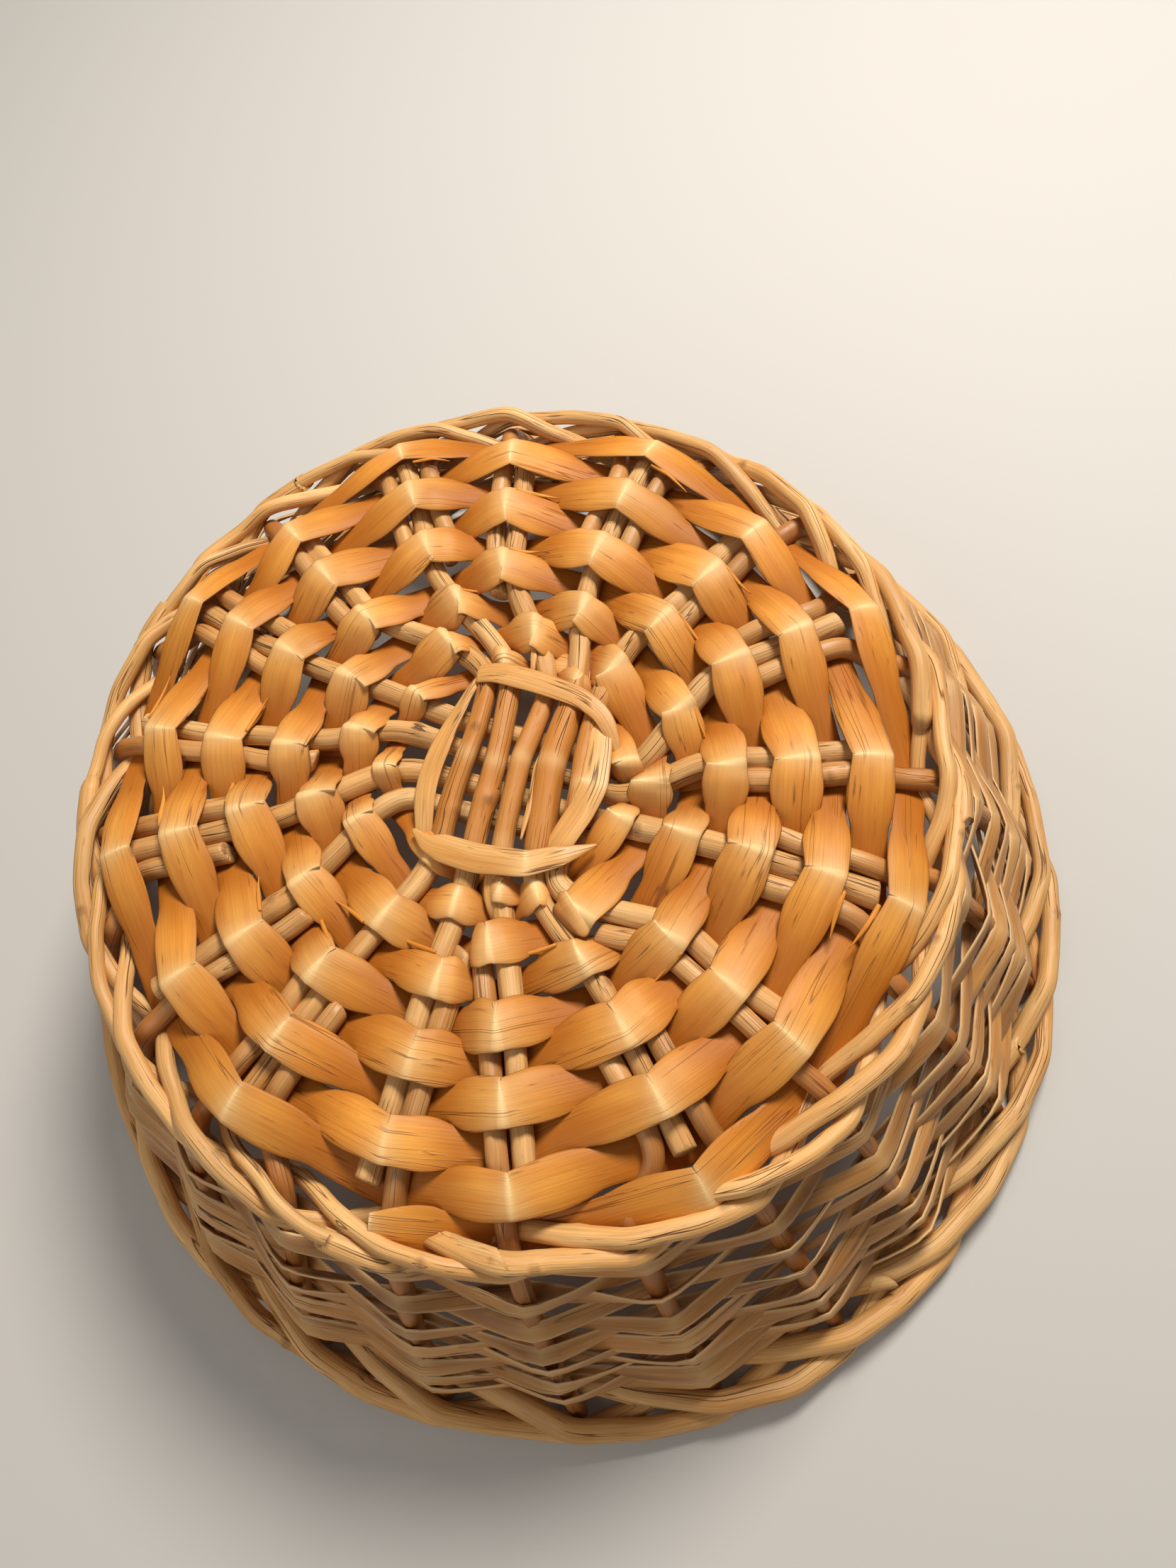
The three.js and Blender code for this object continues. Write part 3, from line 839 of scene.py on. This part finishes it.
def petal(from_over):
    """The smooth curve through the petal's widths."""
    k = int(np.clip(np.searchsorted(PETAL_PLACES, from_over) - 1, 0, len(PETAL_PLACES) - 2))
    length = PETAL_PLACES[k + 1] - PETAL_PLACES[k]
    (here, following), (slope, next_slope) = PETAL_WIDTHS[k : k + 2], PETAL_SLOPES[k : k + 2] * length
    return hermite((from_over - PETAL_PLACES[k]) / length, here, slope, following, next_slope)


# Shares of the way from one crossing to the next, closer together near the creases.
STEPS = np.array([0.0, 0.012, 0.028, 0.05, 0.08, 0.12, 0.16, 0.20, 0.25, 0.30, 0.35, 0.40, 0.45, 0.5])
STEPS = np.r_[STEPS, 1 - STEPS[::-1][1:]]


def weave_lift(a, b, gap, share):
    """How far above the sticks' level a base skein lies, at a share of the way from crossing a to b."""
    top = STICK_RADIUS + SKEIN_STAND
    near, far = a["half"] + 0.0010, b["half"] + 0.0010
    from_a, from_b = (1 if a["over"] else -1), (1 if b["over"] else -1)
    free = gap - near - far
    rise = min(2 * top / max(free, 0.006), 0.34, 0.0018 / max(near, far))
    if share * gap < near:
        return from_a * (top + rise * (near - share * gap))
    if (1 - share) * gap < far:
        return from_b * (top + rise * (far - (1 - share) * gap))
    t = (share * gap - near) / max(free, 1e-4)
    return (from_a * (1 - t) + from_b * t) * top


def base_skein_run(crossings, full_width):
    """Path, edges and marks of a skein through a run of crossings."""
    rows = []
    for a, b in zip(crossings[:-1], crossings[1:]):
        gap = np.linalg.norm(b["point"] - a["point"])
        tone = rng.normal() * 0.35
        swell = 1 + rng.normal() * 0.012
        for share in STEPS if b is crossings[-1] else STEPS[:-1]:
            point = a["point"] * (1 - share) + b["point"] * share
            radius = np.linalg.norm(point[:2])
            slope = (base_level(radius + 0.001) - base_level(radius - 0.001)) / 0.002
            across = unit(a["out"] * (1 - share) + b["out"] * share) + UP * slope
            point = point + UP * (base_level(radius) + weave_lift(a, b, gap, share))
            from_over = share if a["over"] else 1 - share
            wide = (a["wide"] * (1 - share) + b["wide"] * share) * full_width * swell
            camber = 0.0008 * np.interp(from_over, [0, 0.05, 0.2, 0.5, 1], [0.6, 0.7, 1, 0.6, 0.3])
            # Painted shade: the skein is painted darker as it goes under the next rods.
            dive = float(smoothstep(0.18, 0.60, from_over))
            rows.append((point, across, wide * petal(from_over), camber, from_over * gap, dive, tone))
    path, across, width, camber, to_fold, dive, tone = (np.array(column) for column in zip(*rows))
    kernel = np.hanning(15)
    tone = np.convolve(np.pad(tone, 7, "edge"), kernel / kernel.sum(), "valid")
    return path, across, width, camber, to_fold, dive, tone


def round_over(path):
    """Eases a path's corners a little, without moving its points along."""
    eased = path.copy()
    eased[1:-1] = path[1:-1] * 0.7 + (path[:-2] + path[2:]) * 0.15
    return eased


def add_splinters(crossings):
    """Thin splinters that have come away from the edges of some skeins."""
    parts = []
    over = [i for i, crossing in enumerate(crossings[:-1]) if crossing["over"] and crossing["wide"] > 0.9]
    t = np.linspace(0, 1, 14)
    for i in rng.choice(over, SPLINTERS, replace=False):
        here, following = crossings[i], crossings[i + 1]
        gap = np.linalg.norm(following["point"] - here["point"])
        way = unit(following["point"] - here["point"])
        away = 0.003 + rng.uniform(0.009, 0.016) * t
        aside = rng.choice([-1, 1]) * (SKEIN_WIDTH * 0.47 + rng.uniform(0.0005, 0.0022) * t**2)
        path = here["point"] + np.outer(away, way) + np.outer(aside, here["out"])
        fall = 2 * (away - here["half"]) / (gap - 2 * here["half"])
        lift = (STICK_RADIUS + SKEIN_STAND) * (1 - np.maximum(fall, 0)) + 0.0006
        path[:, 2] = base_level(np.linalg.norm(path[:, :2], axis=1)) + lift
        path[:, 2] += rng.uniform(0.0004, 0.002) * t**2
        width = np.linspace(rng.uniform(0.0012, 0.0022), 0.0004, len(t))
        across = np.repeat(here["out"][None], len(t), 0)
        parts.append(skein(path, across, width, 0.0005, width * 0.1, 0.3))
    piece("base_splinters", parts, skein_willow)


def add_base_skeins():
    crossings = base_crossings()
    add_splinters(crossings)
    lengths = split_run(len(crossings) - 1, node_count("base_skein"))
    for number, (first, last) in enumerate(lengths, 1):
        run = crossings[first : last + 1]
        width = SKEIN_WIDTH * rng.uniform(0.96, 1.06)
        path, across, width, camber, to_fold, dive, tone = base_skein_run(run, width)
        places = np.linspace(0, len(width), 12)
        width = width * np.interp(np.arange(len(width)), places, rng.uniform(0.94, 1.07, 12))
        tone = tone + rng.uniform(-0.35, 0.35)
        part = skein(round_over(path), across, width, SKEIN_THICK, camber, tone, to_fold, dive)
        piece(f"skein_base_{number}", [part], skein_willow, [f"base_skein_{number}"])


# ---- Bindings over the crossing ----

# Each strip: its points in the crossing's axes with levels above the sticks' centre line, in millimetres,
# its widths along the way, and the place of its crease as a share of its length.
STRIPS = [
    ([(-21, 23.8, 5.0), (-17, 24.8, 7.2), (-11, 25.2, 7.8), (0, 25, 8.0), (11, 24.1, 8.2),
      (17.7, 21.9, 8.0), (21.5, 18.3, 7.4), (25.5, 12.5, 5.0)],
     (6.2, 6.8, 6.9, 6.8, 6.6, 5.8, 4.8, 2.4), None),
    ([(-22, -25, 5.0), (-16, -28, 7.2), (-1.3, -27.8, 8.0), (12.3, -25.4, 8.6), (20, -20.6, 8.2),
      (28, -14, 5.5)],
     (1.5, 7.6, 7.8, 7.8, 5.6, 1.0), 0.644),
    ([(-21, 24, 3.0), (-21.6, 18, 5.0), (-22, 12.7, 5.4), (-23.2, 3, 5.6), (-23.8, -7.4, 5.4),
      (-22.7, -15.4, 5.0), (-19.5, -25, 3.0)],
     (2.4, 3.0, 4.6, 5.8, 6.2, 6.0, 5.4), None),
    ([(18, 23, 4.0), (19, 18, 6.2), (21, 11, 7.2), (22.8, 1.2, 8.2), (21.6, -7, 7.2), (19, -15.5, 7.0),
      (15.5, -25, 4.5)],
     (5.0, 6.6, 7.4, 7.8, 7.4, 6.8, 5.8), 0.45),
]
# Loose ends left round the crossing by the weaving: the same, with no crease.
LOOSE_ENDS = [
    ([(-5.6, 28, 4.5), (-6.5, 33, 5.5), (-8, 37, 5.5), (-10, 41, 6.0)], (2.0, 2.2, 1.6, 0.6)),
    ([(-6, 33, 0.5), (0, 35.5, 1.8), (6, 35, 1.6), (13, 32, 0.5)], (5.0, 7.5, 7.5, 6.0)),
    ([(2.5, -24, 4.6), (4.5, -31, 4.6), (7.5, -37, 4.0), (10, -43, 0.0)], (6.0, 7.0, 6.6, 5.0)),
    ([(8.2, -19, 6.6), (7.2, -8, 6.4), (5.0, 2, 6.2), (5.2, 10, 5.0)], (1.2, 1.8, 1.3, 0.5)),
]
BINDING_STEP = 0.0008


def add_bindings():
    for number, (corners, widths, crease_at) in enumerate(STRIPS, 1):
        points = [in_crossing(*corner) for corner in corners]
        path = soften(points, BINDING_STEP, 0.0012 if crease_at else 0.0030)
        n = len(path)
        away = unit((path - CROSSING_MIDDLE) * np.array([1, 1, 0]))
        across = unit(np.cross(travel(path), UP))
        across = across * (1 if np.sum(across * away) > 0 else -1) - UP * 0.05
        to_fold = np.abs(np.linspace(0, 1, n) - crease_at) * lengths_of(path)[-1] if crease_at else None
        tone = rng.uniform(-0.1, 0.5) + wander(n, BINDING_STEP, 0.2, 0.03)
        width = stretched(widths, n) / 1000
        camber = np.full(n, 0.00012)
        part = skein(path, across, width, BINDING_THICK, camber, tone, to_fold, point=(0.9, 0.9))
        piece(f"binding_strip_{number}", [part], binding_willow, [f"binding_{number}"])
    parts = []
    for corners, widths in LOOSE_ENDS:
        path = soften([in_crossing(*corner) for corner in corners], BINDING_STEP, 0.0015)
        width = stretched(widths, len(path)) / 1000
        across = unit(np.cross(travel(path), UP))
        parts.append(skein(path, across, width, 0.0007, width * 0.06, rng.uniform(-0.2, 0.5)))
    piece("binding_loose_ends", parts, binding_willow)


# ---- Side stakes ----

ROD_STEP = 0.0018
STAKE_DIP = 0.0030  # how far the stakes dip between leaving their spokes and the bend, to clear the outer row


def add_stakes():
    for number, stake in enumerate(stakes, 1):
        points = []
        for radius in np.linspace(stake["tuck"], BEND_RADIUS - 0.001, 14):
            point, out = spoke_at(stake["spoke"], radius)
            fan = fanned(radius)
            point = point + np.cross(UP, out) * beside(stake, radius)
            point[2] = base_level(radius) - STAKE_DIP * fan * (1 - fan) * 4
            points.append(point)
        for share in np.linspace(0.05, 1.0, 9):
            points.append(wall_at(WALL_LENGTH * share, stake["angle"])[0])
        path = soften(points, ROD_STEP, 0.0032)
        n = len(path)
        path += waver(n, ROD_STEP, 0.0004, 0.05) * smoothstep(0, 0.1, np.linspace(0, 1, n))[:, None]
        radius = tapered(STAKE_RADIUS, n, (0.98, 1.06), (0.8, 0.9))
        bark = smoothstep(0.090, 0.114, np.linalg.norm(path[:, :2], axis=1)) * rng.uniform(0.7, 1.0)
        part = rod(
            path, radius, tone=rng.uniform(-0.6, 0.6), knots=3, groove=rng.choice([0.0, 0.2]),
            cut=(1.4, 1.2), marks={"dive": bark},
        )
        piece(f"stake_{number}", [part], stake_willow, [f"side_stake_{number}"])


# ---- Ropes ----

def rope_angle(step):
    """Angle of a half step round the rope: even ones are stakes, and odd ones lie halfway to the next."""
    turns, index = divmod(step // 2, STAKES)
    following = (index + 1) % STAKES
    here = stakes[index]["angle"]
    there = stakes[following]["angle"] + (0 if following else TURN)
    return ((here + there) / 2 if step % 2 else here) + turns * TURN


# Where a strand lies at each half step past the stakes: how far aside, in reaches, and how high, in lifts.
ROPE_ASIDE = [1.0, 1.06, 1.0, 0.1, -1.0, 0.1]
ROPE_LIFT = [1.0, 0.0, -1.0, -0.9, 0.0, 0.9]
BORDER_LEVEL = 0.0066  # middle of the border above the ground
EDGE_SEAT = 0.0064  # along the wall from the stakes' bend to the middle of the edge rope
EDGE_JOINS = 18, 36  # half steps along a strand of the edge rope where a new rod carries on


def rope_points(shift, first, last, reach, lift, seat):
    """Points of a strand from one half step to another; seat gives the rope's middle and its directions."""
    points = []
    for step in range(first, last + 1):
        point, aside, along = seat(rope_angle(step))
        phase = (step + shift) % 6
        points.append(point + aside * reach * ROPE_ASIDE[phase] + along * lift * ROPE_LIFT[phase])
    return np.array(points)


def edge_seat(angle):
    return wall_at(EDGE_SEAT, angle)


def border_seat(angle):
    tangent = wall_slope[-1]
    slope = tangent[0] / -tangent[1]
    radius = BORDER_CENTRE - slope * (BORDER_LEVEL - STAKE_END_LEVEL)
    point = polar(radius, angle, BORDER_LEVEL) + sway(angle, BORDER_LEVEL)
    return point, polar(1, angle) / -tangent[1], polar(-slope, angle, 1)


def add_edge_rope():
    for strand in range(3):
        start = 2 * strand + 1
        joints = [start, start + EDGE_JOINS[0] + 2 * strand, start + EDGE_JOINS[1], start + 2 * STAKES + 1]
        parts = []
        for first, last in zip(joints[:-1], joints[1:]):
            points = rope_points(strand * 2, first, last + 1, 0.0056, 0.0025, edge_seat)
            path = soften(points, 0.0016, 0.0022)
            n = len(path)
            path += waver(n, 0.0016, 0.0006, 0.05)
            radius = tapered(EDGE_ROD_RADIUS, n, (1.02, 1.14), (0.80, 0.92))
            parts.append(rod(path, radius, tone=rng.uniform(-0.4, 0.7), knots=8, cut=(2.2, 2.2)))
        piece(f"edge_strand_{strand + 1}", parts, rod_willow, [f"edge_rod_{strand + 1}"])


def add_border():
    """The stakes' tips, each turned down past its next three neighbours and cut off."""
    parts = [[], [], []]
    for index in range(STAKES):
        shift = (4 - 2 * index) % 6
        first = 2 * index
        last = first + 6 + int(rng.integers(0, 2))
        points = rope_points(shift, first, last, 0.0062, 0.0031, border_seat)
        points[0] += UP * 0.004
        points += rng.normal(size=points.shape) * 0.0006
        path = soften(points, ROD_STEP, 0.0026)
        radius = tapered(BORDER_ROD_RADIUS, len(path), (1.0, 1.12), (0.74, 0.90))
        path[:, 2] = np.maximum(path[:, 2], radius * 1.1)  # no lower than the ground
        tone, groove = rng.uniform(-0.5, 0.7), rng.choice([0, 0, 0.25])
        parts[index % 3].append(rod(path, radius, tone=tone, knots=2, groove=groove, cut=(1.5, 2.4)))
    for strand in range(3):
        piece(f"border_strand_{strand + 1}", parts[strand], rod_willow, [f"border_rod_{strand + 1}"])


# ---- Side skeins ----

SIDE_TURNS = 13
SIDE_TOP, SIDE_BOTTOM = 0.0125, WALL_LENGTH - 0.0135
ROW_SPREAD = 0.24  # the rows lie further apart near the base and closer near the mouth


def stake_angle(crossing):
    turns, index = divmod(crossing, STAKES)
    return stakes[index]["angle"] + turns * TURN


def side_skein_path(first, last):
    """Path of a side skein from one crossing with a stake to another, its edge directions and folds."""
    count = last - first + 2
    stray = wander(count, 1, 0.0015, 7) + rng.normal(size=count) * 0.0004
    pitch = (SIDE_BOTTOM - SIDE_TOP) / SIDE_TURNS
    rows = []
    for crossing in range(first, last + 1):
        a, b = stake_angle(crossing), stake_angle(crossing + 1)
        is_outside = crossing % 2 == 1
        for share in np.arange(8) / 8 if crossing < last else [0.0]:
            angle = a * (1 - share) + b * share
            row = (crossing + share) / STAKES
            length = SIDE_TOP + pitch * row * (1 + ROW_SPREAD * (1 - row / SIDE_TURNS))
            length += np.interp(crossing + share - first, np.arange(count), stray)
            point, out, rise = wall_at(length, angle)
            swing = np.interp(share, [0, 0.1, 0.9, 1], [1, 0.86, -0.86, -1]) * (1 if is_outside else -1)
            chord = math.cos((b - a) / 2) / math.cos(angle - (a + b) / 2)  # straight from stake to stake
            point = point * np.array([chord, chord, 1]) + out * swing * (STAKE_RADIUS + SIDE_THICK * 0.7)
            # The distance to the fold starts at 2.2 mm, so the painted fold highlight stays faint on the side
            # skeins.
            rows.append((point, rise, 0.0022 + 0.036 * (share if is_outside else 1 - share)))
    return (np.array(column) for column in zip(*rows))


def add_side_skeins():
    lengths = split_run(SIDE_TURNS * STAKES, node_count("side_skein"))
    for number, (first, last) in enumerate(lengths, 1):
        path, across, to_fold = side_skein_path(first, last)
        path = round_over(path)
        n = len(path)
        step = 0.004  # about the distance between two points
        width = SIDE_WIDTH * (1 + wander(n, step, 0.14, 0.12)) * rng.uniform(0.88, 1.08)
        roll = wander(n, step, 0.34, 0.07) - 0.12
        outwards = np.cross(travel(path), across)
        across = across * np.cos(roll)[:, None] + outwards * np.sin(roll)[:, None]
        tone = rng.uniform(-0.6, 0.6) + wander(n, step, 0.3, 0.1)
        part = skein(path, across, width, SIDE_THICK, np.full(n, 0.0002), tone, to_fold)
        piece(f"skein_side_{number}", [part], side_willow, [f"side_skein_{number}"])


add_sticks()
add_base_skeins()
add_bindings()
add_stakes()
add_edge_rope()
add_border()
add_side_skeins()


# ---- Floor, light and camera ----

def add_floor():
    half = 3.0
    mesh = bpy.data.meshes.new("floor")
    corners = [(-half, -half, 0), (half, -half, 0), (half, half, 0), (-half, half, 0)]
    mesh.from_pydata(corners, [], [(0, 1, 2, 3)])
    material = bpy.data.materials.new("floor_paint")
    material.use_nodes = True
    shader = material.node_tree.nodes["Principled BSDF"]
    shader.inputs["Base Color"].default_value = linear(196, 193, 188)
    shader.inputs["Roughness"].default_value = 0.7
    mesh.materials.append(material)
    floor = bpy.data.objects.new("floor", mesh)
    bpy.context.scene.collection.objects.link(floor)


def add_light(name, place, target, width, power, colour):
    data = bpy.data.lights.new(name, "AREA")
    data.shape = "DISK"
    data.size = width
    data.energy = power
    data.color = colour
    light = bpy.data.objects.new(name, data)
    light.location = place
    light.rotation_mode = "QUATERNION"
    light.rotation_quaternion = (Vector(target) - Vector(place)).to_track_quat("-Z", "Y")
    bpy.context.scene.collection.objects.link(light)


def add_camera():
    """The camera, placed in units of the base's radius."""
    elevation, roll = math.radians(65.4), math.radians(-18.4)
    distance, across, upwards = 2.511, -0.190, -0.031
    back = Vector((0, -math.cos(elevation), math.sin(elevation)))
    right0 = Vector((1, 0, 0))
    up0 = Vector((0, math.sin(elevation), math.cos(elevation)))
    right = right0 * math.cos(roll) + up0 * math.sin(roll)
    up = up0 * math.cos(roll) - right0 * math.sin(roll)
    data = bpy.data.cameras.new("camera")
    data.sensor_width = 36
    data.lens = 24.85
    data.clip_start, data.clip_end = 0.01, 20
    camera = bpy.data.objects.new("camera", data)
    target = Vector((0, 0, 0.5))
    place = target + back * distance - right * across - up * upwards
    axes = Matrix((right, up, back)).transposed().to_4x4()
    camera.matrix_world = Matrix.Translation(place * BASE_RADIUS) @ axes
    bpy.context.scene.collection.objects.link(camera)
    bpy.context.scene.camera = camera


def add_world():
    world = bpy.data.worlds.new("studio")
    world.use_nodes = True
    background = world.node_tree.nodes["Background"]
    background.inputs[0].default_value = (1.0, 0.98, 0.95, 1)
    background.inputs[1].default_value = 0.20
    bpy.context.scene.world = world
    bpy.context.scene.view_settings.view_transform = "Standard"


add_floor()
add_world()
add_light("key", (0.48, 0.46, 0.90), target=(0, 0, 0.06), width=0.36, power=14.5, colour=(1.0, 0.95, 0.88))
add_light("fill", (-0.7, -0.4, 0.8), target=(0, 0, 0.04), width=0.8, power=2.6, colour=(1.0, 0.96, 0.92))
add_camera()

bpy.context.view_layer.update()
